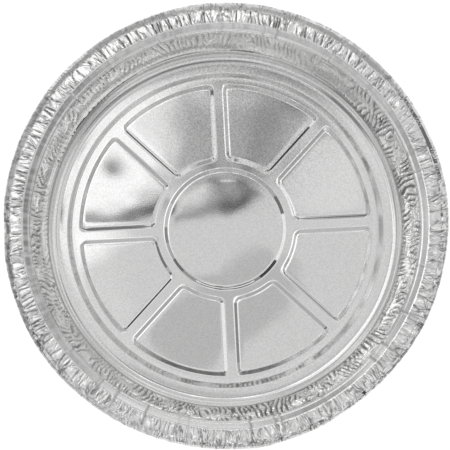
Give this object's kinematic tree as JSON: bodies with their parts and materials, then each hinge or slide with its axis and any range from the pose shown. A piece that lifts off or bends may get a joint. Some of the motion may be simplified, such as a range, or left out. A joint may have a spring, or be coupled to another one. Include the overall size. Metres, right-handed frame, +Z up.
{
  "type": "foil pie tin",
  "caption": "Round foil pie tin with a crinkled sloping wall, a pleated flange, a rolled edge and a base embossed with raised panels between spoke ribs.",
  "frame": {"origin": "centre of the underside of the foot ring", "axes": "+Z up out of the open mouth along the tin's axis; -Y is the near side of the picture and +X its right"},
  "size_m": [0.2279, 0.2284, 0.0389],
  "materials": {
    "foil": "bright rolled foil"
  },
  "bodies": {
    "root": {"tin": "foil"}
  },
  "joints": []
}
